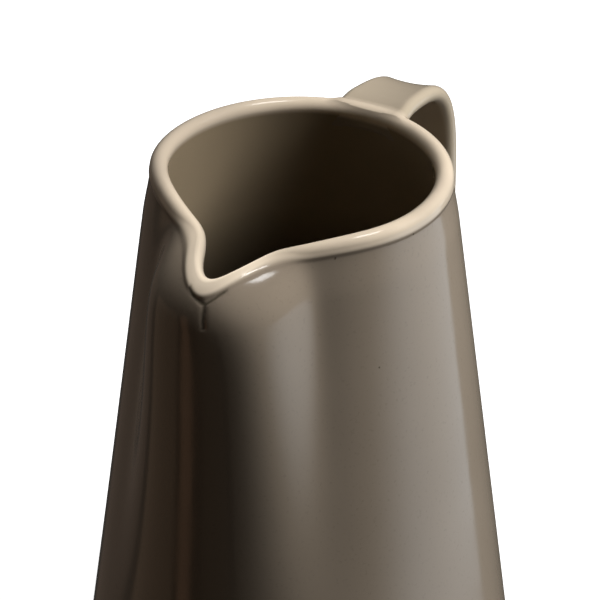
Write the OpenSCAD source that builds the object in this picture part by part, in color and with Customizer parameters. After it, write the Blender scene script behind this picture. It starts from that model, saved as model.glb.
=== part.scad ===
// Stoneware jug: a tapered body with a pinched pouring spout and a strap handle.
// Origin on the jug's axis at the underside of the foot, +Z up, spout towards -Y, handle towards +Y.

/* [Body] */
// Height from the table to the level part of the rim
height = 200; // [160:1:260]
// Outer diameter of the wall just above the base
base_d = 148; // [130:1:180]
// Outer diameter of the round part of the rim
rim_d = 95; // [84:1:116]
// Thickness of the wall and of the rounded lip
wall_t = 5.8; // [4.6:0.2:8]
// Thickness of the floor
floor_t = 7; // [5:0.5:10]
// Radius of the rounded edge under the wall
base_edge_r = 4; // [2:0.5:6]
// Radius inside, between the floor and the wall
floor_corner_r = 12; // [6:1:18]

/* [Spout] */
// How far the spout's tip stands out past the circle of the rim
spout_reach = 9.5; // [6:0.5:16]
// How far the rim is drawn in on each side of the spout
pinch_depth = 6.2; // [0:0.2:8]
// Half width of the pinched stretch, in degrees around the axis
pinch_spread = 58; // [45:1:75]
// How far the flanks beside the keel stay pressed in below the pinched rim
flank_press = 4; // [0:0.2:6]
// Half width of the spout's beak at the lip, in degrees around the axis
beak_spread = 12.4; // [9:0.2:20]
// How far the keel below the spout stands out from the pressed wall, just under the lip
keel_reach = 20; // [0:0.5:24]
// Half width of the keel just under the lip, in degrees around the axis
keel_spread = 26; // [18:0.5:34]
// Half width of the keel at the foot, in degrees around the axis
keel_foot_spread = 34; // [20:0.5:48]
// Depth below the lip over which the pinched beak turns into the wider keel and its flanks
curl_fade = 8; // [5:0.5:20]
// Drop of the rim towards the spout
spout_drop = 9.6; // [0:0.2:12]
// Half width of the drop, in degrees around the axis
drop_spread = 44; // [30:1:60]
// Further drop at the spout's tip
tip_drop = 2.8; // [0:0.2:4]
// Half width of the further drop, in degrees around the axis
tip_drop_spread = 7; // [5:1:15]

/* [Handle] */
// Width of the strap
strap_w = 22.5; // [16:0.5:30]
// Thickness of the strap
strap_t = 5.6; // [4:0.2:8]
// Added width where the strap meets the body
strap_flare = 2.5; // [0:0.5:6]
// Distance from the rim's outside to the outermost point of the strap
handle_reach = 42; // [34:1:56]
// Depth of the strap's outermost point below the rim
handle_bend_depth = 48; // [36:1:60]
// Depth of the lower joint below the rim
handle_drop = 112; // [90:1:140]
// Height of the strap's upper face above the top of the lip
handle_rise = 1; // [0.6:0.1:2]
// Depth of the shallow hollow along each face of the strap
strap_dish = 0.7; // [0:0.1:1.2]
// Slight twist of the strap at its upper bend, in degrees, as pulled by hand
strap_twist = 3.5; // [0:0.5:6]

/* [Joints] */
// Thickness of the slip that bonds the strap to the wall
slip_t = 0.8; // [0.6:0.1:1.5]
// How far the squeezed slip stands out around the strap's end
slip_bead = 1.4; // [0.5:0.1:2.5]

/* [Foot] */
// Height of the bare foot ring
foot_h = 2.5; // [1.5:0.5:5]
// Width of the bare foot ring
foot_w = 7; // [4:0.5:10]
// Distance from the wall's outside to the foot ring's outside
foot_inset = 7; // [5:0.5:12]
// Chamfer on the foot ring's lower edges
foot_chamfer = 0.8; // [0.4:0.1:1.2]

/* [Hidden] */

// How finely the curved surfaces are divided
columns = 80;
wall_rows = 17;
lip_rows = 8;
edge_rows = 3;
corner_rows = 4;
strap_rows = 22;
strap_side_steps = 6;
strap_face_steps = 4;
round_fn = 180;
// Share by which the columns crowd towards the spout
crowd_share = 0.55;
// The wall's rows lie closer together towards the rim
row_power = 1.7;
// How strongly the keel, the pressed flanks and the drop of the rim gather near the top
keel_power = 1.5;
press_power = 2;
drop_power = 7;
// Shape of a bump: round for the beak and the drops, flat-topped for the keel, the pinch and the strap's flare
round_power = 2;
flat_power = 4;
// Small steps for measuring the direction of the wall
turn_step = 0.25;
rise_step_share = 0.002;

clay_colour = [0.58, 0.53, 0.46];
slip_colour = [0.66, 0.60, 0.52];
foot_colour = [0.74, 0.66, 0.54];

half_t = wall_t / 2;
lip_mid_r = rim_d / 2 - half_t;
lip_mid_z = height - half_t;
base_mid_r = base_d / 2 - half_t;
base_mid_z = foot_h + base_edge_r;
wall_h = lip_mid_z - base_mid_z;
taper = (base_mid_r - lip_mid_r) / wall_h;
taper_angle = atan(taper);
beak_height = spout_reach + pinch_depth;

// A smooth bump that is 1 at the spout and dies away at about the given spread
function bump(turn, spread, power) = exp(-pow(abs(turn) / spread, power));

// Turn around the axis of a column, from the spout, with the columns crowded there
function column_turn(k) =
    let (even = 360 * k / columns - 180)
    even - crowd_share * 180 / PI * sin(even);

// Radius of the middle of the wall, at a turn and a share of the wall's height
function mid_r(turn, up) =
    let (depth = (1 - up) * wall_h,
         high = max(up, 0),
         curl = exp(-depth / curl_fade),
         spread = keel_foot_spread + (keel_spread - keel_foot_spread) * high,
         press = pinch_depth * curl + flank_press * (1 - pow(1 - high, press_power)) * (1 - curl),
         keel = keel_reach * pow(high, keel_power) * (1 - curl))
    lip_mid_r + taper * depth
        - press * bump(turn, pinch_spread, flat_power)
        + beak_height * curl * bump(turn, beak_spread, round_power)
        + keel * bump(turn, spread, flat_power);

// Height of the middle of the wall, lower towards the spout
function mid_z(turn, up) =
    base_mid_z + wall_h * up
        - (spout_drop * bump(turn, drop_spread, round_power)
            + tip_drop * bump(turn, tip_drop_spread, round_power))
        * pow(max(up, 0), drop_power);

function mid(turn, up) =
    let (r = mid_r(turn, up))
    [r * sin(turn), -r * cos(turn), mid_z(turn, up)];

function unit(v) = v / norm(v);
function along(turn, up) = unit(mid(turn, up) - mid(turn, up - rise_step_share));
function around(turn, up) = unit(mid(turn + turn_step, up) - mid(turn - turn_step, up));
function outward(turn, up) = unit(cross(around(turn, up), along(turn, up)));

// One ring of points at an offset from the middle of the wall
function wall_ring(up, offset) =
    [for (k = [0 : columns - 1])
        let (turn = column_turn(k)) mid(turn, up) + offset * outward(turn, up)];

// One ring of the rounded lip, from the outside over the top to the inside
function lip_ring(angle) =
    [for (k = [0 : columns - 1])
        let (turn = column_turn(k))
        mid(turn, 1) + half_t * (cos(angle) * outward(turn, 1) + sin(angle) * along(turn, 1))];

// One ring drawn in from another towards the axis and set at a height
function drawn_ring(ring, inset, z) =
    [for (p = ring)
        let (r = norm([p[0], p[1]])) [p[0] * (r - inset) / r, p[1] * (r - inset) / r, z]];

row_shares = [for (i = [0 : wall_rows]) 1 - pow(1 - i / wall_rows, row_power)];
floor_z = foot_h + floor_t;
corner_z = floor_z + floor_corner_r;
inner_start_share = (corner_z - base_mid_z) / wall_h;
outer_foot = wall_ring(0, half_t);
inner_foot = wall_ring(inner_start_share, -half_t);

body_rings = concat(
    [for (i = [0 : edge_rows - 1])
        let (angle = 90 * i / edge_rows, inset = base_edge_r * (1 - sin(angle)))
        drawn_ring(outer_foot, inset, foot_h + base_edge_r * (1 - cos(angle)))],
    [for (share = row_shares) wall_ring(share, half_t)],
    [for (i = [1 : lip_rows - 1]) lip_ring(180 * i / lip_rows)],
    [for (i = [wall_rows : -1 : 0])
        wall_ring(inner_start_share + (1 - inner_start_share) * row_shares[i], -half_t)],
    [for (i = [1 : corner_rows])
        let (angle = 90 * i / corner_rows, inset = floor_corner_r * (1 - cos(angle)))
        drawn_ring(inner_foot, inset, floor_z + floor_corner_r * (1 - sin(angle)))]
);

// Faces of a closed skin of rings, with a middle point at each end
function skin_faces(rings, count) = concat(
    [for (i = [0 : rings - 2], k = [0 : count - 1], half = [0, 1])
        let (a = i * count + k, b = i * count + (k + 1) % count)
        half == 0 ? [a, a + count, b] : [b, a + count, b + count]],
    [for (k = [0 : count - 1]) [rings * count, k, (k + 1) % count]],
    [for (k = [0 : count - 1])
        [rings * count + 1, (rings - 1) * count + (k + 1) % count, (rings - 1) * count + k]]
);

module skin(rings, start, end) {
    points = concat([for (ring = rings, p = ring) p], [start, end]);
    polyhedron(points, skin_faces(len(rings), len(rings[0])), convexity = 6);
}

module body() {
    color(clay_colour)
        skin(body_rings, [0, 0, foot_h], [0, 0, floor_z]);
}

module foot_ring() {
    outer_r = base_d / 2 - foot_inset;
    inner_r = outer_r - foot_w;
    color(foot_colour)
        rotate_extrude($fn = round_fn)
            polygon([
                [inner_r, foot_h],
                [inner_r, foot_chamfer],
                [inner_r + foot_chamfer, 0],
                [outer_r - foot_chamfer, 0],
                [outer_r, foot_chamfer],
                [outer_r, foot_h]
            ]);
}

// The strap's middle line, in the plane of the handle: [distance from the axis, height]
strap_half = strap_t / 2;
strap_top_z = height + handle_rise - strap_half;
strap_out_r = rim_d / 2 + handle_reach - strap_half;
strap_out_z = height - handle_bend_depth;
strap_low_z = height - handle_drop;
strap_low_r = lip_mid_r + taper * (lip_mid_z - strap_low_z) + half_t;
// Shares of the handle's reach and drop that shape the strap's two bends
top_pull_share = 0.75;
out_pull_share = 0.9;
low_pull_share = 0.52;
end_pull_shares = [0.56, 0.17];
top_slope_share = 0.02;
// Share of the lip's half thickness, outwards from its crest, where the strap begins
seat_share = 0.45;
// Length of the bar that a slip pad is cut from, as a share of the wall's thickness
pad_share = 3;
pad_length = pad_share * wall_t;

top_start = [lip_mid_r + seat_share * half_t, strap_top_z];
top_end = [strap_out_r, strap_out_z];
top_pull = top_pull_share * (strap_out_r - lip_mid_r);
low_end = [strap_low_r - half_t, strap_low_z];
top_curve = [
    top_start,
    top_start + [top_pull, -top_slope_share * top_pull],
    top_end + [0, out_pull_share * (strap_top_z - strap_out_z)],
    top_end
];
low_curve = [
    top_end,
    top_end - [0, low_pull_share * (strap_out_z - strap_low_z)],
    low_end + [
        end_pull_shares[0] * (strap_out_r - strap_low_r),
        end_pull_shares[1] * (strap_out_z - strap_low_z)
    ],
    low_end
];

function bezier(c, t) =
    pow(1 - t, 3) * c[0] + 3 * t * pow(1 - t, 2) * c[1] + 3 * t * t * (1 - t) * c[2] + t * t * t * c[3];
function bezier_slope(c, t) =
    unit(pow(1 - t, 2) * (c[1] - c[0]) + 2 * t * (1 - t) * (c[2] - c[1]) + t * t * (c[3] - c[2]));

// Width and twist of the strap at a share of the way along it
function strap_width(along_share) = strap_w + strap_flare * pow(abs(2 * along_share - 1), flat_power);
function strap_turn(along_share) = strap_twist * sin(180 * sqrt(along_share));

// One section of the strap: dished faces and fully rounded edges, twisted about its +X edge
function strap_ring(c, t, along_share) =
    let (
        p = bezier(c, t),
        s = bezier_slope(c, t),
        side = [s[1], -s[0]],
        width = strap_width(along_share),
        twist = strap_turn(along_share),
        flat_half = width / 2 - strap_half
    )
    [for (edge = [1, -1])
        for (q = concat(
            [for (i = [0 : strap_side_steps])
                let (angle = 180 * i / strap_side_steps - 90)
                [flat_half + strap_half * cos(angle), strap_half * sin(angle)]],
            [for (i = [1 : strap_face_steps - 1])
                let (x = flat_half * (1 - 2 * i / strap_face_steps))
                [x, strap_half - strap_dish * (1 - pow(x / flat_half, 2))]]
        ))
        let (x = edge * q[0], y = edge * q[1], in = y * cos(twist) + (width / 2 - x) * sin(twist))
        [x * cos(twist) + y * sin(twist), p[0] + side[0] * in, p[1] + side[1] * in]];

strap_rings = concat(
    [for (i = [0 : strap_rows - 1]) strap_ring(top_curve, i / strap_rows, i / strap_rows / 2)],
    [for (i = [0 : strap_rows]) strap_ring(low_curve, i / strap_rows, (1 + i / strap_rows) / 2)]
);

// The round of the body's outside, grown by a gap, that the handle and the slip sit on
module wall_round(gap) {
    top_r = lip_mid_r + (half_t + gap) / cos(taper_angle);
    cylinder(h = lip_mid_z, r1 = top_r + taper * lip_mid_z, r2 = top_r, $fn = round_fn);
    translate([0, 0, lip_mid_z])
        rotate_extrude($fn = round_fn)
            translate([lip_mid_r, 0])
                circle(r = half_t + gap, $fn = round_fn);
}

module handle() {
    color(clay_colour)
        difference() {
            skin(
                strap_rings,
                [0, top_start[0], top_start[1]],
                [0, low_end[0], low_end[1]]
            );
            wall_round(slip_t);
        }
}

// A straight bar with the section of the strap's end, grown by the squeezed bead at the sides and below
module slip_bar(top_bead) {
    w = strap_w + strap_flare - strap_t;
    r = strap_half + (slip_bead + top_bead) / 2;
    side_r = strap_half + slip_bead;
    linear_extrude(pad_length)
        translate([0, (top_bead - slip_bead) / 2])
            union() {
                square([w + 2 * (side_r - r), 2 * r], center = true);
                for (side = [-1, 1])
                    translate([side * (w / 2 + side_r - r), 0])
                        circle(r = r, $fn = round_fn);
            }
}

module slip_pad(at, slope, top_bead) {
    color(slip_colour)
        difference() {
            intersection() {
                wall_round(slip_t);
                translate([0, at[0], at[1]])
                    rotate([atan2(slope[1], slope[0]) - 90, 0, 0])
                        slip_bar(top_bead);
            }
            wall_round(0);
        }
}

module upper_joint() {
    slip_pad(top_start, bezier_slope(top_curve, 0), 0);
}

module lower_joint() {
    slip_pad(low_end, -bezier_slope(low_curve, 1), slip_bead);
}

body();
foot_ring();
handle();
upper_joint();
lower_joint();
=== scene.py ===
import math
import bpy
import numpy as np
from mathutils import Matrix, Vector


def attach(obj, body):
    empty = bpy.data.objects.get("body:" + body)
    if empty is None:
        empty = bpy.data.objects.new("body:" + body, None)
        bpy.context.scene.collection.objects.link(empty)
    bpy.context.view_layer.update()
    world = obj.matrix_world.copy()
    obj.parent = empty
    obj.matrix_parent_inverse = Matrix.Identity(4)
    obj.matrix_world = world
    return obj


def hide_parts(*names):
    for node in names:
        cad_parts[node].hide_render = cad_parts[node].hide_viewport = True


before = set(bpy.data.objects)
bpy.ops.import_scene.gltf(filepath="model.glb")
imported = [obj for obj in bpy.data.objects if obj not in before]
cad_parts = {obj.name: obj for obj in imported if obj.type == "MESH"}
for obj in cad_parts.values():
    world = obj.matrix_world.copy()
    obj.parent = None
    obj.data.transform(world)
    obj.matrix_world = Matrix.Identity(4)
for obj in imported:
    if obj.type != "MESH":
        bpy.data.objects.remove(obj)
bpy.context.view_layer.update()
MM = 0.001

# Sizes of the jug, as in the part's source
height, base_d, rim_d, wall_t = 200.0, 148.0, 95.0, 5.8
floor_t, base_edge_r, floor_corner_r = 7.0, 4.0, 12.0
spout_reach, pinch_depth, pinch_spread, flank_press = 9.5, 6.2, 58.0, 4.0
beak_spread, keel_reach, keel_spread, keel_foot_spread, curl_fade = 12.4, 20.0, 26.0, 34.0, 8.0
spout_drop, drop_spread, tip_drop, tip_drop_spread = 9.6, 44.0, 2.8, 7.0
strap_w, strap_t, strap_flare, strap_dish, strap_twist = 22.5, 5.6, 2.5, 0.7, 3.5
handle_reach, handle_bend_depth, handle_drop, handle_rise = 42.0, 48.0, 112.0, 1.0
foot_h = 2.5
keel_power, press_power, drop_power, round_power, flat_power = 1.5, 2.0, 7.0, 2.0, 4.0

half_t = wall_t / 2
lip_mid_r = rim_d / 2 - half_t
lip_mid_z = height - half_t
base_mid_r = base_d / 2 - half_t
base_mid_z = foot_h + base_edge_r
wall_h = lip_mid_z - base_mid_z
taper = (base_mid_r - lip_mid_r) / wall_h
beak_height = spout_reach + pinch_depth

# Fine detail that the solids leave out. Places on the skin are given as the turn from the spout in degrees,
# positive towards +X, and as the depth below the lip's middle line in millimetres.
# The skin is set in a little, so that it stays inside the solids
SET_IN = 0.04
# The neck under the lip's bead: how deep it is, and the depths where it starts, is deepest and has run out
NECK_DEPTH, NECK_TOP, NECK_LOW, NECK_END = 0.45, 1.3, 3.0, 16.0
# The light rim ends softly at these depths outside and inside
RIM_END, RIM_SOFT, INNER_RIM_END = 1.4, 0.9, 0.5
# At the tip, bead and light rim reach lower
TIP_LOWER, TIP_SPREAD = 1.9, 9.0
# Painted light and shade on the rim: its cream is lighter on the tip, and darker at the sides between the turns
# named here:
# start and end of the rise, start and end of the fall, and how much darker
TIP_LIGHT_SPREAD = 16.0
SHADED_SIDES = ((-150, -112, -62, -38, 1.0), (70, 84, 100, 120, 0.6))
# The Y-shaped fold in the clay under the tip, as lines through places on the skin
FOLD_LINES = (
    ((-3.2, 3.4), (0.0, 4.4), (2.5, 6.2)),
    ((6.6, 3.8), (4.0, 5.0), (2.5, 6.2)),
    ((2.5, 6.2), (2.8, 10.4), (3.3, 14.5)))
FOLD_HALF, FOLD_DEPTH = 0.75, 0.3
# Pinholes in the glaze, drawn only as painted shade: turn, depth and radius
PINHOLES = ((44.8, 2.9, 0.5), (76.0, 2.4, 0.45), (58.0, 41.0, 0.45), (-64.0, 27.0, 0.45))

# Cells of the fine meshes. The columns crowd towards the spout and the wall's rows towards the lip
COLUMNS, COLUMN_CROWD = 400, 0.55
WALL_ROWS, ROW_CROWD = 150, 1.6
LIP_ROWS, EDGE_ROWS, CORNER_ROWS = 24, 8, 12
UNDER_INSETS, FLOOR_INSETS = (40.0, 20.0, 8.0), (10.0, 25.0, 40.0)
# The inside starts at this share of the way over the lip
INSIDE_FROM = 0.62
STRAP_RINGS, ROOT_RINGS = 150, 4
SIDE_STEPS, FACE_STEPS = 14, 20
# The strap's raised edges start and are full at these shares of its half width
EDGE_START, EDGE_FULL = 0.72, 0.98
# Small steps for slopes, in shares of a length, in degrees and in millimetres
SHARE_STEP, TURN_STEP, GRADIENT_STEP = 0.0005, 0.1, 0.03
# The fillets at the strap's ends: the grid's corners, its cells and the distance over which the skins blend
FILLETS = {
    "upper": ((-18, 36, 186), (18, 56, 204), 0.5, 2.6),
    "lower": ((-19, 52, 74), (19, 76, 106), 0.6, 4.0)}

# Millimetres around the tip for one degree of turn
TIP_MM = math.radians(1) * (lip_mid_r + spout_reach)


def unit(v):
    return v / np.linalg.norm(v, axis=-1, keepdims=True)


def smooth(low, high, v):
    s = np.clip((np.asarray(v, float) - low) / (high - low), 0, 1)
    return s * s * (3 - 2 * s)


def bump(turn, spread, power):
    return np.exp(-(np.abs(turn) / spread) ** power)


def middle(turn, up):
    """A point on the middle of the wall, at a turn from the spout in degrees and a share of the height."""
    depth = (1 - up) * wall_h
    high = np.maximum(up, 0)
    curl = np.exp(-depth / curl_fade)
    spread = keel_foot_spread + (keel_spread - keel_foot_spread) * high
    press = pinch_depth * curl + flank_press * (1 - (1 - high) ** press_power) * (1 - curl)
    keel = keel_reach * high ** keel_power * (1 - curl)
    r = (lip_mid_r + taper * depth
         - press * bump(turn, pinch_spread, flat_power)
         + beak_height * curl * bump(turn, beak_spread, round_power)
         + keel * bump(turn, spread, flat_power))
    z = (base_mid_z + wall_h * up
         - (spout_drop * bump(turn, drop_spread, round_power)
            + tip_drop * bump(turn, tip_drop_spread, round_power)) * high ** drop_power)
    a = np.radians(turn)
    return np.stack([r * np.sin(a), -r * np.cos(a), z], axis=-1)


def wall_frame(turn, up):
    """The wall's outward normal and its upward direction."""
    along = unit(middle(turn, up) - middle(turn, up - 0.002))
    around = unit(middle(turn + 0.25, up) - middle(turn - 0.25, up))
    return unit(np.cross(around, along)), along


def line_distance(x, y, line):
    """Distance from places to a line through several, all in millimetres on the unrolled wall."""
    best = np.full(np.shape(x), 1e9)
    for (ax, ay), (bx, by) in zip(line, line[1:]):
        dx, dy = bx - ax, by - ay
        h = np.clip(((x - ax) * dx + (y - ay) * dy) / (dx * dx + dy * dy), 0, 1)
        best = np.minimum(best, np.hypot(x - ax - h * dx, y - ay - h * dy))
    return best


def relief(turn, depth):
    """How far the fine skin stands out from the plain round wall on the outside."""
    below = depth - TIP_LOWER * bump(turn, TIP_SPREAD, round_power)
    neck = smooth(NECK_TOP, NECK_LOW, below) * (1 - smooth(NECK_LOW, NECK_END, below))
    groove = np.zeros(np.shape(turn))
    for line in FOLD_LINES:
        d = line_distance(turn * TIP_MM, depth, [(t * TIP_MM, h) for t, h in line])
        groove = np.maximum(groove, np.exp(-(d / FOLD_HALF) ** 2))
    return -SET_IN - NECK_DEPTH * neck - FOLD_DEPTH * groove


def skin(turn, up):
    """The outside's points with their relief."""
    out, _ = wall_frame(turn, up)
    return middle(turn, up) + (half_t + relief(turn, (1 - up) * wall_h))[..., None] * out


def skin_frame(turn, up):
    """The outside's points and normals with their relief."""
    around = skin(turn + TURN_STEP, up) - skin(turn - TURN_STEP, up)
    along = skin(turn, up + SHARE_STEP) - skin(turn, up - SHARE_STEP)
    return skin(turn, up), unit(np.cross(around, along))


def turns():
    even = 360 * np.arange(COLUMNS) / COLUMNS - 180
    return even - COLUMN_CROWD * np.degrees(np.sin(np.radians(even)))


def new_object(name, points, faces, normals, attributes):
    mesh = bpy.data.meshes.new(name)
    mesh.from_pydata((points * MM).tolist(), [], faces)
    mesh.update()
    for p in mesh.polygons:
        p.use_smooth = True
    for key, values in attributes.items():
        layer = mesh.attributes.new(key, "FLOAT", "POINT")
        layer.data.foreach_set("value", np.asarray(values, np.float32))
    mesh.normals_split_custom_set_from_vertices(unit(normals).tolist())
    obj = bpy.data.objects.new(name, mesh)
    bpy.context.scene.collection.objects.link(obj)
    return obj


def ring_faces(rings, count):
    """Faces for a row of rings and, at the end of the points, a centre for each end."""
    faces = []
    for i in range(rings - 1):
        for k in range(count):
            a, b = i * count + k, i * count + (k + 1) % count
            faces.append((a, b, b + count, a + count))
    n, last = rings * count, (rings - 1) * count
    for k in range(count):
        faces.append((n, (k + 1) % count, k))
        faces.append((n + 1, last + k, last + (k + 1) % count))
    return faces


def make_body():
    """The body, from the underside over the outside, the lip and the inside to the floor."""
    t = turns()
    rows, norms, lips, insides, depths = [], [], [], [], []
    radial = np.stack([np.sin(np.radians(t)), -np.cos(np.radians(t)), 0 * t], -1)
    upward = np.array([0.0, 0.0, 1.0])

    def add(points, normals, lip, inside, depth=wall_h):
        rows.append(points)
        norms.append(normals)
        lips.append(np.full(COLUMNS, lip) if np.isscalar(lip) else lip)
        insides.append(np.full(COLUMNS, float(inside)))
        depths.append(np.full(COLUMNS, float(depth)))

    def drawn(ring, inset, z):
        r = np.hypot(ring[:, 0], ring[:, 1])
        return np.stack([ring[:, 0] * (r - inset) / r, ring[:, 1] * (r - inset) / r, 0 * r + z], -1)

    out, _ = wall_frame(t, 0 * t)
    foot = middle(t, 0 * t) + (half_t - SET_IN) * out
    for inset in UNDER_INSETS:
        add(drawn(foot, base_edge_r + inset, foot_h), radial * 0 - upward, 0, 0)
    for i in range(EDGE_ROWS):
        a = math.pi / 2 * i / EDGE_ROWS
        add(drawn(foot, base_edge_r * (1 - math.sin(a)), foot_h + base_edge_r * (1 - math.cos(a))),
            radial * math.sin(a) - upward * math.cos(a), 0, 0)
    shares = 1 - (1 - np.arange(WALL_ROWS + 1) / WALL_ROWS) ** ROW_CROWD
    end = RIM_END + TIP_LOWER * bump(t, TIP_SPREAD, round_power)
    for share in shares[:-1]:
        points, out = skin_frame(t, share + 0 * t)
        depth = (1 - share) * wall_h
        add(points, out, 1 - smooth(end - RIM_SOFT, end + RIM_SOFT, depth), 0, depth)
    out, along = wall_frame(t, 1 + 0 * t)
    for i in range(LIP_ROWS):
        a = math.pi * i / LIP_ROWS
        n = math.cos(a) * out + math.sin(a) * along
        add(middle(t, 1 + 0 * t) + (half_t - SET_IN) * n, n, 1, i > LIP_ROWS * INSIDE_FROM, 0)
    low = (foot_h + floor_t + floor_corner_r - base_mid_z) / wall_h
    for share in (low + (1 - low) * shares)[::-1]:
        out, _ = wall_frame(t, share + 0 * t)
        depth = (1 - share) * wall_h
        lip = 1 - float(smooth(INNER_RIM_END - RIM_SOFT, INNER_RIM_END + RIM_SOFT, depth))
        add(middle(t, share + 0 * t) - half_t * out, -out, lip, 1, depth)
    out, _ = wall_frame(t, low + 0 * t)
    inner = middle(t, low + 0 * t) - half_t * out
    floor_z = foot_h + floor_t
    for i in range(1, CORNER_ROWS + 1):
        a = math.pi / 2 * i / CORNER_ROWS
        add(drawn(inner, floor_corner_r * (1 - math.cos(a)), floor_z + floor_corner_r * (1 - math.sin(a))),
            -radial * math.cos(a) + upward * math.sin(a), 0, 1)
    for inset in FLOOR_INSETS:
        add(drawn(inner, floor_corner_r + inset, floor_z), radial * 0 + upward, 0, 1)
    points = np.vstack(rows + [np.array([[0, 0, foot_h], [0, 0, floor_z]])])
    normals = np.vstack(norms + [np.array([[0, 0, -1.0], [0, 0, 1.0]])])
    # Painted shade on the rim's sides, by turn
    thick = sum(share * smooth(a, b, t) * (1 - smooth(c, d, t)) for a, b, c, d, share in SHADED_SIDES)

    def by_turn(values):
        return np.concatenate([np.tile(values, len(rows)), np.zeros(2)])

    lip = np.concatenate(lips + [np.zeros(2)])
    return new_object("jug_body", points, ring_faces(len(rows), COLUMNS), normals, {
        "lip": lip,
        "inside": np.concatenate(insides + [np.array([0.0, 1.0])]),
        "strap": 0 * lip,
        "strap_edge": 0 * lip,
        "turn_mm": by_turn(t * TIP_MM),
        "depth_mm": np.concatenate(depths + [np.full(2, wall_h)]),
        "thin": by_turn(bump(t, TIP_LIGHT_SPREAD, round_power)),
        "thick": by_turn(thick)})


# The strap's middle line in the plane of the handle, as distance from the axis and height: two curves that meet
# at its outermost point, each with a pull at both ends as a share of the way there
TOP_START_PULL, TOP_START_FALL, TOP_END_PULL = 0.75, -0.02, 0.9
LOW_START_PULL, LOW_END_OUT, LOW_END_RISE = 0.52, 0.56, 0.17
START_INTO_LIP = 0.45
strap_half = strap_t / 2
strap_top_z = height + handle_rise - strap_half
strap_out_r = rim_d / 2 + handle_reach - strap_half
strap_out_z = height - handle_bend_depth
strap_low_z = height - handle_drop
strap_low_r = lip_mid_r + taper * (lip_mid_z - strap_low_z) + half_t
strap_fall = strap_out_z - strap_low_z
top_start = np.array([lip_mid_r + START_INTO_LIP * half_t, strap_top_z])
top_end = np.array([strap_out_r, strap_out_z])
top_pull = TOP_START_PULL * (strap_out_r - lip_mid_r)
low_end = np.array([strap_low_r - half_t, strap_low_z])
top_curve = np.array([
    top_start,
    top_start + [top_pull, TOP_START_FALL * top_pull],
    top_end + [0, TOP_END_PULL * (strap_top_z - strap_out_z)],
    top_end])
low_curve = np.array([
    top_end,
    top_end - [0, LOW_START_PULL * strap_fall],
    low_end + [LOW_END_OUT * (strap_out_r - strap_low_r), LOW_END_RISE * strap_fall],
    low_end])
# How far the strap's root sinks into the lip, and over which length
ROOT_SINK, ROOT_LENGTH, ROOT_INTO = 1.5, 9.0, 2.6
top_slope = 6 * (top_curve[1] - top_curve[0])
FIRST_SHARE = -ROOT_INTO / top_slope[0]


def bezier(c, t):
    t = np.asarray(t, float)[..., None]
    return (1 - t) ** 3 * c[0] + 3 * t * (1 - t) ** 2 * c[1] + 3 * t * t * (1 - t) * c[2] + t ** 3 * c[3]


def middle_line(share):
    """The strap's middle line by share of its length; a share below zero runs on into the lip."""
    share = np.asarray(share, float)
    high = bezier(top_curve, np.clip(share, 0, 0.5) * 2)
    low = bezier(low_curve, (np.clip(share, 0.5, 1) - 0.5) * 2)
    p = np.where((share < 0.5)[..., None], high, low)
    p = p + np.minimum(share, 0)[..., None] * top_slope
    root = 1 - smooth(lip_mid_r, lip_mid_r + ROOT_LENGTH, p[..., 0])
    p[..., 1] = p[..., 1] - ROOT_SINK * root * (share < 0.25)
    return p


def strap_frame(share):
    """The strap at a share of its length: its middle, the direction inward, its width and its twist."""
    p = middle_line(share)
    s = unit(middle_line(share + SHARE_STEP) - middle_line(share - SHARE_STEP))
    side = np.stack([s[..., 1], -s[..., 0]], -1)
    kept = np.clip(share, 0, 1)
    width = strap_w + strap_flare * np.abs(2 * kept - 1) ** flat_power
    twist = np.radians(strap_twist) * np.sin(np.pi * np.sqrt(kept))
    return p, side, width, twist


def section(width):
    """The strap's section as points (across, inward), counter-clockwise, for one width."""
    flat = width / 2 - strap_half
    out = []
    for edge in (1, -1):
        for i in range(SIDE_STEPS + 1):
            a = math.pi * i / SIDE_STEPS - math.pi / 2
            out.append((edge * (flat + strap_half * math.cos(a)), edge * strap_half * math.sin(a)))
        for i in range(1, FACE_STEPS):
            x = flat * (1 - 2 * i / FACE_STEPS)
            out.append((edge * x, edge * (strap_half - strap_dish * (1 - (x / flat) ** 2))))
    return np.array(out)


def strap_ring(share):
    """The section's points in place, turned by the twist about its far edge."""
    p, side, width, twist = strap_frame(np.array(share))
    width, twist = float(width), float(twist)
    x, y = section(width).T
    inward = y * math.cos(twist) + (width / 2 - x) * math.sin(twist)
    across = x * math.cos(twist) + y * math.sin(twist)
    return np.stack([across, p[0] + side[0] * inward, p[1] + side[1] * inward], -1)


def make_strap():
    root = np.linspace(FIRST_SHARE, 0, ROOT_RINGS + 1)[:-1]
    rings = np.array([strap_ring(share) for share in np.concatenate([root, np.linspace(0, 1, STRAP_RINGS)])])
    du = np.roll(rings, -1, 1) - np.roll(rings, 1, 1)
    dv = np.gradient(rings, axis=0)
    n = unit(np.cross(du, dv))
    centre = rings.mean(1, keepdims=True)
    n *= np.sign((n * (rings - centre)).sum(-1).mean())
    across = np.abs(rings[:, :, 0])
    edge = smooth(EDGE_START, EDGE_FULL, across / across.max(1, keepdims=True))
    first, last = rings[0].mean(0), rings[-1].mean(0)
    points = np.vstack([rings.reshape(-1, 3), first, last])
    normals = np.vstack([n.reshape(-1, 3), first - last, last - first])
    edge = np.concatenate([edge.reshape(-1), [0, 0]])
    return new_object("jug_strap", points, ring_faces(*rings.shape[:2]), normals,
                      {"lip": 0 * edge, "inside": 0 * edge, "strap": 0 * edge + 1, "strap_edge": edge})


# Places on the strap's middle line, for finding the nearest one
LINE_SHARES = np.linspace(FIRST_SHARE, 1, 200)
LINE_POINTS = middle_line(LINE_SHARES)


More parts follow.
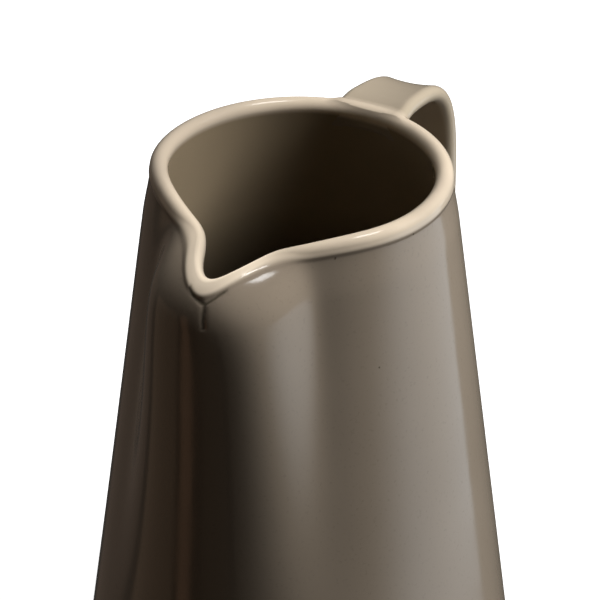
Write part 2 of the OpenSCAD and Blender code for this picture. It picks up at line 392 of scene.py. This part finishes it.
def strap_distance(p):
    """Distance to the strap's skin, and how far across the strap, as a share of its half width."""
    near = np.zeros(len(p), int)
    squares = (LINE_POINTS ** 2).sum(-1)
    for i in range(0, len(p), 50000):
        near[i:i + 50000] = (squares - 2 * p[i:i + 50000, 1:] @ LINE_POINTS.T).argmin(1)
    share = LINE_SHARES[near]
    for _ in range(2):
        c = middle_line(share)
        rate = (middle_line(share + SHARE_STEP) - middle_line(share - SHARE_STEP)) / (2 * SHARE_STEP)
        share = share + ((p[:, 1:] - c) * rate).sum(-1) / (rate ** 2).sum(-1)
        share = np.clip(share, FIRST_SHARE, 1)
    c, side, width, twist = strap_frame(share)
    s = np.stack([-side[:, 1], side[:, 0]], -1)
    off = p[:, 1:] - c
    inward = (off * side).sum(-1)
    past = np.abs((off * s).sum(-1))
    x = p[:, 0]
    xt = x * np.cos(twist) + (inward - (width / 2 - x) * np.sin(twist)) * np.sin(twist)
    yt = inward - (width / 2 - x) * np.sin(twist)
    flat = width / 2 - strap_half
    inner = np.abs(yt) - strap_half + strap_dish * (1 - np.minimum(np.abs(xt) / flat, 1) ** 2)
    outer = np.hypot(np.maximum(np.abs(xt) - flat, 0), yt) - strap_half
    d = np.where(np.abs(xt) < flat, inner, outer)
    return np.where(past > 0.01, np.maximum(d, past), d), np.abs(xt) / (width / 2)


def wall_distance(p):
    """Distance to the wall away from the spout, where it is a plain cone with a round lip."""
    r = np.hypot(p[:, 0], p[:, 1])
    a = np.array([base_mid_r, base_mid_z])
    b = np.array([lip_mid_r, lip_mid_z])
    ab = b - a
    v = np.stack([r, p[:, 2]], -1) - a
    h = np.clip((v @ ab) / (ab @ ab), 0, 1)
    return np.linalg.norm(v - h[:, None] * ab, axis=1) - half_t


def joined(p, reach):
    """Distance to strap and wall run into each other, and to each of them."""
    a, _ = strap_distance(p)
    b = wall_distance(p)
    h = np.maximum(reach - np.abs(a - b), 0)
    return np.minimum(a, b) - h * h / (4 * reach), a, b


def gradient(p, reach):
    g = []
    for axis in range(3):
        step = np.zeros(3)
        step[axis] = GRADIENT_STEP
        g.append((joined(p + step, reach)[0] - joined(p - step, reach)[0]) / (2 * GRADIENT_STEP))
    return np.stack(g, -1)


def make_fillet(name, low, high, step, reach):
    """The skin where strap and wall run into each other, from a grid of distances."""
    axes = [np.arange(low[i], high[i] + step, step) for i in range(3)]
    shape = [len(a) for a in axes]
    grid = np.stack(np.meshgrid(*axes, indexing="ij"), -1).reshape(-1, 3)
    f = joined(grid, reach)[0].reshape(shape)
    inside = f < 0
    # One point in each cell that the skin crosses: the mean of the crossings on the cell's edges
    total = np.zeros([n - 1 for n in shape] + [3])
    crossings = np.zeros([n - 1 for n in shape])
    for di in (0, 1):
        for dj in (0, 1):
            for axis in range(3):
                other = [k for k in range(3) if k != axis]
                start = [0, 0, 0]
                start[other[0]], start[other[1]] = di, dj
                s0 = tuple(slice(start[k], start[k] + shape[k] - 1) for k in range(3))
                end = list(start)
                end[axis] += 1
                s1 = tuple(slice(end[k], end[k] + shape[k] - 1) for k in range(3))
                f0, f1 = f[s0], f[s1]
                cross = (f0 < 0) != (f1 < 0)
                t = np.where(cross, f0 / np.where(cross, f0 - f1, 1), 0)
                base = np.array(start, float)
                for k in range(3):
                    at = base[k] + (t if k == axis else 0)
                    total[..., k] += np.where(cross, at, 0)
                crossings += cross
    used = crossings > 0
    index = -np.ones(used.shape, int)
    index[used] = np.arange(used.sum())
    corner = np.stack(np.nonzero(used), -1)
    points = np.array(low) + step * (corner + total[used] / crossings[used][:, None])
    # One face for each of the grid's edges that crosses the skin, between the points of the cells around it
    faces = []
    for axis in range(3):
        other = [k for k in range(3) if k != axis]
        s0 = [slice(None)] * 3
        s1 = [slice(None)] * 3
        s0[axis], s1[axis] = slice(0, shape[axis] - 1), slice(1, shape[axis])
        for k in other:
            s0[k] = s1[k] = slice(1, shape[k] - 1)
        change = inside[tuple(s0)] != inside[tuple(s1)]
        at = np.stack(np.nonzero(change), -1)
        flip = inside[tuple(s0)][change]
        for k in other:
            at[:, k] += 1
        quad = []
        for da, db in ((0, 0), (1, 0), (1, 1), (0, 1)):
            c = at.copy()
            c[:, other[0]] -= da
            c[:, other[1]] -= db
            quad.append(index[c[:, 0], c[:, 1], c[:, 2]])
        quad = np.stack(quad, -1)
        turn = flip if axis != 1 else ~flip
        quad[~turn] = quad[~turn][:, ::-1]
        faces.append(quad)
    faces = np.vstack(faces)
    # The points are drawn onto the skin, and only the part where strap and wall blend is kept
    for _ in range(4):
        f = joined(points, reach)[0]
        g = gradient(points, reach)
        points = points - (f / np.maximum((g * g).sum(-1), 0.05))[:, None] * g
    _, a, b = joined(points, reach)
    blend = np.abs(a - b) < reach * 0.97
    faces = faces[blend[faces].all(1)]
    kept = np.unique(faces)
    renumber = -np.ones(len(points), int)
    renumber[kept] = np.arange(len(kept))
    points, faces = points[kept], renumber[faces]
    normals = gradient(points, reach)
    _, across = strap_distance(points)
    a, b = a[kept], b[kept]
    share = smooth(-reach, reach, b - a)
    lip = (1 - smooth(RIM_END - RIM_SOFT, RIM_END + RIM_SOFT, lip_mid_z - points[:, 2])) * (1 - share)
    return new_object(name, points, faces.tolist(), normals, {
        "lip": lip,
        "inside": 0 * lip,
        "strap": share,
        "strap_edge": smooth(EDGE_START, EDGE_FULL, across) * share})


body = make_body()
strap = make_strap()
upper = make_fillet("jug_upper_joint", *FILLETS["upper"])
lower = make_fillet("jug_lower_joint", *FILLETS["lower"])


# Colours of the glaze, from the wall to the painted shade in its fold and pinholes, and of the bare clay
GLAZE_DARK, GLAZE_LIGHT, SPECK = (0.250, 0.203, 0.153), (0.270, 0.220, 0.167), (0.16, 0.125, 0.09)
# The rim's cream, and the same with painted light for the tip and painted shade for the sides
CREAM, CREAM_PAINTED_LIGHT, CREAM_PAINTED_SHADE = (0.66, 0.55, 0.42), (0.84, 0.71, 0.55), (0.48, 0.40, 0.31)
CLAY_DARK, CLAY_LIGHT = (0.30, 0.21, 0.13), (0.46, 0.35, 0.24)
# Painted shade for the fold's lines and the pinholes, and the share of the specks
CREASE_AND_PIT_SHADE, SPECK_SHARE = (0.055, 0.045, 0.03), 0.25
# Tints by attribute: the largest share, and the colour
TINTS = {
    "inside": (0.8, (0.265, 0.205, 0.128)),
    "strap": (0.85, (0.40, 0.335, 0.25)),
    "strap_edge": (0.5, (0.50, 0.42, 0.31))}
# Painted shade deep inside the jug: the inside darkens between these depths, up to this share
DEEP_START, DEEP_END, DEEP_SHARE, PAINTED_DEEP_SHADE = 38, 75, 0.9, (0.045, 0.034, 0.022)
# The painted shade along the fold's lines: half widths of the full and of the fading colour, and their share
LINE_CORE, LINE_END, LINE_SHARE = 0.15, 0.8, 0.75
# The painted shade in the pinholes: the part of the radius with the full colour, and its share
PIN_CORE, PIN_SHARE = 0.4, 0.8
# How far lines and pinholes wobble, in millimetres, and the least share of cream on the rim
WOBBLE, RIM_LEAST = 0.25, 0.9
# Noises by scale and detail, and the middle part of a noise's range that is used
CLOUDS, SPECKS, RIM_CLOUDS, POLISH = (14, 3), (900, 2), (60, 3), (45, 4)
PEEL, WAVES, GRAIN, WOBBLE_AROUND, WOBBLE_DOWN = (260, 2), (22, 1), (700, 4), (420, 2), (380, 2)
NOISE_LOW, NOISE_HIGH = 0.3, 0.7
SPECK_LOW, SPECK_HIGH, CLOUD_LOW, CLOUD_HIGH = 0.60, 0.75, 0.35, 0.65
# Roughness of the glaze, lowest and highest, and the bumps' strength and distance
ROUGH_LOW, ROUGH_HIGH, CLAY_ROUGH, GLAZE_INDEX = 0.10, 0.16, 0.85, 1.52
PEEL_BUMP, WAVE_BUMP, GRAIN_BUMP = (0.35, 0.00006), (0.5, 0.0004), (0.6, 0.0002)

# The surroundings. The camera sees plain white, and so does whatever looks through glass. Reflections come from
# a dim room with a few soft bands, as around the photographed jug, and light from soft boxes. Directions are
# given as azimuth from the spout's side towards +X and as height above the horizon, both in degrees.
GLOSSY_WHITE_SHARE = 0.02
ROOM = (0.012, 0.010, 0.008)
# What the glaze mirrors below the horizon: start and end in azimuth with the soft width at each,
# lowest and highest elevation, and colour
BANDS = (
    (-126, 6, -96, 5, -42, -4, (0.07, 0.048, 0.034)),
    (-86, 5, -45, 3, -42, -4, (0.17, 0.115, 0.075)),
    (-41, 2, -33, 3, -42, -4, (0.33, 0.18, 0.105)),
    (-25, 4, -6, 3, -42, -4, (0.06, 0.045, 0.03)),
    (0, 3, 62, 12, -42, -4, (0.07, 0.055, 0.04)),
    (80, 40, 152, 3, -31, -4, (0.82, 0.95, 1.08)))
LEVEL_SOFT = 3
# The soft boxes: azimuth, elevation, distance, width, length, radiance, and whether the glaze mirrors it
SOFTBOXES = {
    "key": (116, 44, 1.3, 0.65, 0.8, 15.5, False),
    "top": (135, 80, 1.3, 0.3, 0.3, 12.0, True),
    "fill": (-105, 22, 1.4, 1.1, 0.9, 0.8, False),
    "back": (-158, 20, 1.4, 0.8, 0.8, 1.5, False)}
AIM = Vector((0, 0, 0.15))
# The floor glows by itself: a bit less than white near the jug, where the lamps light it too, and white far off
FLOOR_HALF, FLOOR_GREY = 3.0, 0.5
GLOW_START, GLOW_END, GLOW_NEAR, GLOW_FAR = 0.4, 1.5, 0.9, 1.0

# The camera, fitted to the photograph
CAMERA_PLACE = Vector((0.3213, -0.5564, 0.5542))
CAMERA_AZIMUTH, CAMERA_PITCH = 30, 32.1
SENSOR_WIDTH, LENS, SHIFT_X = 36, 144, 0.0015


class Nodes:
    """Short calls for making nodes in one tree."""

    def __init__(self, tree):
        tree.nodes.clear()
        self.new, self.link = tree.nodes.new, tree.links.new

    def put(self, socket, v):
        if isinstance(v, bpy.types.NodeSocket):
            self.link(v, socket)
        elif isinstance(v, tuple) and len(v) == 3 and len(socket.default_value) == 4:
            socket.default_value = v + (1,)
        else:
            socket.default_value = v

    def node(self, kind, **inputs):
        """A node of the given kind; each input is named with underscores for spaces."""
        t = self.new("ShaderNode" + kind)
        for key, v in inputs.items():
            self.put(t.inputs[key.replace("_", " ")], v)
        return t

    def maths(self, kind, *inputs):
        t = self.new("ShaderNodeMath")
        t.operation = kind
        for socket, v in zip(t.inputs, inputs):
            self.put(socket, v)
        return t.outputs[0]

    def vector(self, kind, *inputs):
        t = self.new("ShaderNodeVectorMath")
        t.operation = kind
        for socket, v in zip(t.inputs, inputs):
            self.put(socket, v)
        return t.outputs["Value" if kind in ("DISTANCE", "DOT_PRODUCT", "LENGTH") else "Vector"]

    def combine(self, x, y):
        t = self.new("ShaderNodeCombineXYZ")
        self.put(t.inputs[0], x)
        self.put(t.inputs[1], y)
        return t.outputs[0]

    def spread(self, v, low, high, to_low=0.0, to_high=1.0):
        t = self.node("MapRange", Value=v, From_Min=low, From_Max=high, To_Min=to_low, To_Max=to_high)
        return t.outputs[0]

    def step(self, v, low, high):
        t = self.node("MapRange", Value=v, From_Min=low, From_Max=high)
        t.interpolation_type = "SMOOTHSTEP"
        return t.outputs[0]

    def noise(self, where, scale, detail):
        return self.node("TexNoise", Vector=where, Scale=scale, Detail=detail).outputs["Fac"]

    def attribute(self, key):
        t = self.new("ShaderNodeAttribute")
        t.attribute_name = key
        return t.outputs["Fac"]

    def mix(self, share, a, b):
        t = self.new("ShaderNodeMix")
        t.data_type = "RGBA"
        self.put(t.inputs["Factor"], share)
        for key, v in (("A", a), ("B", b)):
            self.put([k for k in t.inputs if k.name == key and k.type == "RGBA"][0], v)
        return [k for k in t.outputs if k.type == "RGBA"][0]

    def bump(self, strength, distance, height, **inputs):
        return self.node("Bump", Strength=strength, Distance=distance, Height=height, **inputs).outputs[0]

    def blend(self, share, a, b):
        """A mix of two shaders."""
        t = self.new("ShaderNodeMixShader")
        for socket, v in zip(t.inputs, (share, a.outputs[0], b.outputs[0])):
            self.link(v, socket)
        return t


def node_material(name):
    m = bpy.data.materials.new(name)
    m.use_nodes = True
    return m, Nodes(m.node_tree)


def painted_fold_and_pinhole_shade(nodes, where, depth):
    """Painted shade in the fold's lines and in the pinholes, drawn on the unrolled outside with a slight wobble.
    """
    turn_mm = nodes.attribute("turn_mm")
    around = nodes.spread(nodes.noise(where, *WOBBLE_AROUND), NOISE_LOW, NOISE_HIGH, -WOBBLE, WOBBLE)
    down = nodes.spread(nodes.noise(where, *WOBBLE_DOWN), NOISE_LOW, NOISE_HIGH, -WOBBLE, WOBBLE)
    place = nodes.combine(nodes.maths("ADD", turn_mm, around), nodes.maths("ADD", depth, down))
    painted_shade = 0.0
    for line in FOLD_LINES:
        for (at, ah), (bt, bh) in zip(line, line[1:]):
            dx, dy = (bt - at) * TIP_MM, bh - ah
            square = dx ** 2 + dy ** 2
            start = nodes.vector("SUBTRACT", place, (at * TIP_MM, ah, 0.0))
            share = nodes.vector("DOT_PRODUCT", start, (dx / square, dy / square, 0.0))
            share = nodes.maths("MINIMUM", nodes.maths("MAXIMUM", share, 0), 1)
            foot = nodes.combine(nodes.maths("MULTIPLY", share, dx), nodes.maths("MULTIPLY", share, dy))
            away = nodes.vector("DISTANCE", start, foot)
            painted_shade = nodes.maths("MAXIMUM", painted_shade, nodes.spread(away, LINE_CORE, LINE_END, LINE_SHARE, 0))
    for at, h, size in PINHOLES:
        away = nodes.vector("DISTANCE", place, (at * TIP_MM, h, 0.0))
        painted_shade = nodes.maths("MAXIMUM", painted_shade, nodes.spread(away, size * PIN_CORE, size, PIN_SHARE, 0))
    return nodes.maths("MULTIPLY", painted_shade, nodes.maths("SUBTRACT", 1, nodes.attribute("inside")))


def glaze_material():
    m, nodes = node_material("taupe_glaze")
    where = nodes.new("ShaderNodeTexCoord").outputs["Object"]
    depth = nodes.attribute("depth_mm")
    mix, spread, noise, attribute = nodes.mix, nodes.spread, nodes.noise, nodes.attribute
    colour = mix(spread(noise(where, *CLOUDS), CLOUD_LOW, CLOUD_HIGH), GLAZE_DARK, GLAZE_LIGHT)
    colour = mix(spread(noise(where, *SPECKS), SPECK_LOW, SPECK_HIGH, 0, SPECK_SHARE), colour, SPECK)
    for key, (most, tint) in TINTS.items():
        colour = mix(spread(attribute(key), 0, 1, 0, most), colour, tint)
    # Painted shade deep inside the jug, where little light reaches
    deep = nodes.maths("MULTIPLY", attribute("inside"), spread(depth, DEEP_START, DEEP_END, 0, DEEP_SHARE))
    colour = mix(deep, colour, PAINTED_DEEP_SHADE)
    # The rim's cream, with painted light on the tip and painted shade at the sides
    cream = mix(attribute("thin"), CREAM, CREAM_PAINTED_LIGHT)
    cream = mix(attribute("thick"), cream, CREAM_PAINTED_SHADE)
    broken = spread(noise(where, *RIM_CLOUDS), NOISE_LOW, NOISE_HIGH, RIM_LEAST, 1)
    colour = mix(nodes.maths("MULTIPLY", attribute("lip"), broken), colour, cream)
    # Painted shade in the fold's lines and the pinholes
    colour = mix(painted_fold_and_pinhole_shade(nodes, where, depth), colour, CREASE_AND_PIT_SHADE)
    peel = nodes.bump(*PEEL_BUMP, noise(where, *PEEL))
    wave = nodes.bump(*WAVE_BUMP, noise(where, *WAVES), Normal=peel)
    rough = spread(noise(where, *POLISH), NOISE_LOW, NOISE_HIGH, ROUGH_LOW, ROUGH_HIGH)
    shader = nodes.node("BsdfPrincipled", Base_Color=colour, Roughness=rough, IOR=GLAZE_INDEX, Normal=wave)
    nodes.node("OutputMaterial", Surface=shader.outputs[0])
    return m


def clay_material():
    m, nodes = node_material("fired_clay")
    grain = nodes.noise(nodes.new("ShaderNodeTexCoord").outputs["Object"], *GRAIN)
    ramp = nodes.node("ValToRGB", Fac=grain)
    for end, position, colour in zip(ramp.color_ramp.elements, (NOISE_LOW, NOISE_HIGH), (CLAY_DARK, CLAY_LIGHT)):
        end.position = position
        end.color = colour + (1,)
    shader = nodes.node("BsdfPrincipled", Base_Color=ramp.outputs[0], Roughness=CLAY_ROUGH,
                        Normal=nodes.bump(*GRAIN_BUMP, grain))
    nodes.node("OutputMaterial", Surface=shader.outputs[0])
    return m


glaze = glaze_material()
for piece, node in ((body, "body"), (strap, "handle"), (upper, "upper_joint"), (lower, "lower_joint")):
    piece.data.materials.append(glaze)
    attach(piece, "root")
    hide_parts(node)
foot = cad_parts["foot_ring"]
clay = clay_material()
foot.data.materials.clear()
foot.data.materials.append(clay)


def background_share(nodes, glossy_share):
    path = nodes.new("ShaderNodeLightPath").outputs
    seen = nodes.maths("MAXIMUM", path["Is Camera Ray"], path["Is Transmission Ray"])
    return nodes.maths("MAXIMUM", seen, nodes.maths("MULTIPLY", path["Is Glossy Ray"], glossy_share))


def make_world():
    world = bpy.data.worlds.new("world")
    bpy.context.scene.world = world
    world.use_nodes = True
    nodes = Nodes(world.node_tree)
    where = nodes.new("ShaderNodeTexCoord").outputs["Generated"]
    x, y, z = nodes.node("SeparateXYZ", Vector=where).outputs
    degree = 180 / math.pi
    azimuth = nodes.maths("MULTIPLY", nodes.maths("ARCTAN2", x, nodes.maths("MULTIPLY", y, -1.0)), degree)
    above = nodes.maths("MULTIPLY", nodes.maths("ARCSINE", z), degree)

    def edge(v, at, half):
        return nodes.step(v, at - half, at + half)

    room = ROOM
    for start, start_width, end, end_width, lowest, highest, colour in BANDS:
        side = nodes.maths("SUBTRACT", edge(azimuth, start, start_width / 2), edge(azimuth, end, end_width / 2))
        level = nodes.maths("SUBTRACT", edge(above, lowest, LEVEL_SOFT), edge(above, highest, LEVEL_SOFT))
        room = nodes.mix(nodes.maths("MULTIPLY", side, level), room, colour)
    dim = nodes.node("Background", Color=room)
    white = nodes.node("Background", Color=(1.0, 1.0, 1.0))
    both = nodes.blend(background_share(nodes, GLOSSY_WHITE_SHARE), dim, white)
    nodes.node("OutputWorld", Surface=both.outputs[0])


def make_floor():
    """A white floor with the jug's shadow. Rays of light and reflection pass it and meet the surroundings."""
    mesh = bpy.data.meshes.new("floor")
    s = FLOOR_HALF
    mesh.from_pydata([(-s, -s, 0), (s, -s, 0), (s, s, 0), (-s, s, 0)], [], [(0, 1, 2, 3)])
    obj = bpy.data.objects.new("floor", mesh)
    bpy.context.scene.collection.objects.link(obj)
    m, nodes = node_material("floor")
    away = nodes.vector("LENGTH", nodes.new("ShaderNodeTexCoord").outputs["Object"])
    shader = nodes.node("BsdfPrincipled", Base_Color=(FLOOR_GREY,) * 3, Roughness=0.9, Specular_IOR_Level=0.0,
                        Emission_Color=(1.0, 1.0, 1.0),
                        Emission_Strength=nodes.spread(away, GLOW_START, GLOW_END, GLOW_NEAR, GLOW_FAR))
    clear = nodes.new("ShaderNodeBsdfTransparent")
    both = nodes.blend(background_share(nodes, 0.0), clear, shader)
    nodes.node("OutputMaterial", Surface=both.outputs[0])
    mesh.materials.append(m)


def direction(azimuth, elevation):
    a, e = math.radians(azimuth), math.radians(elevation)
    return Vector((math.sin(a) * math.cos(e), -math.cos(a) * math.cos(e), math.sin(e)))


def make_softbox(name, azimuth, elevation, distance, width, length, radiance, mirrored):
    """A soft light that faces the jug from an azimuth and elevation; its length runs up and down."""
    data = bpy.data.lights.new(name, "AREA")
    data.shape = "RECTANGLE"
    data.size, data.size_y = width, length
    data.energy = radiance * math.pi * width * length
    obj = bpy.data.objects.new(name, data)
    away = direction(azimuth, elevation)
    turned = (-away).to_track_quat("-Z", "Y").to_matrix().to_4x4()
    obj.matrix_world = Matrix.Translation(AIM + distance * away) @ turned
    obj.visible_camera = False
    obj.visible_glossy = mirrored
    bpy.context.scene.collection.objects.link(obj)


def make_camera():
    data = bpy.data.cameras.new("camera")
    data.sensor_width, data.lens, data.shift_x = SENSOR_WIDTH, LENS, SHIFT_X
    obj = bpy.data.objects.new("camera", data)
    back = direction(CAMERA_AZIMUTH, CAMERA_PITCH)
    right = direction(CAMERA_AZIMUTH + 90, 0)
    turned = Matrix((right, back.cross(right), back)).transposed().to_4x4()
    obj.matrix_world = Matrix.Translation(CAMERA_PLACE) @ turned
    bpy.context.scene.collection.objects.link(obj)
    bpy.context.scene.camera = obj


make_world()
make_floor()
for name, values in SOFTBOXES.items():
    make_softbox(name, *values)
make_camera()
bpy.context.scene.view_settings.view_transform = "Standard"
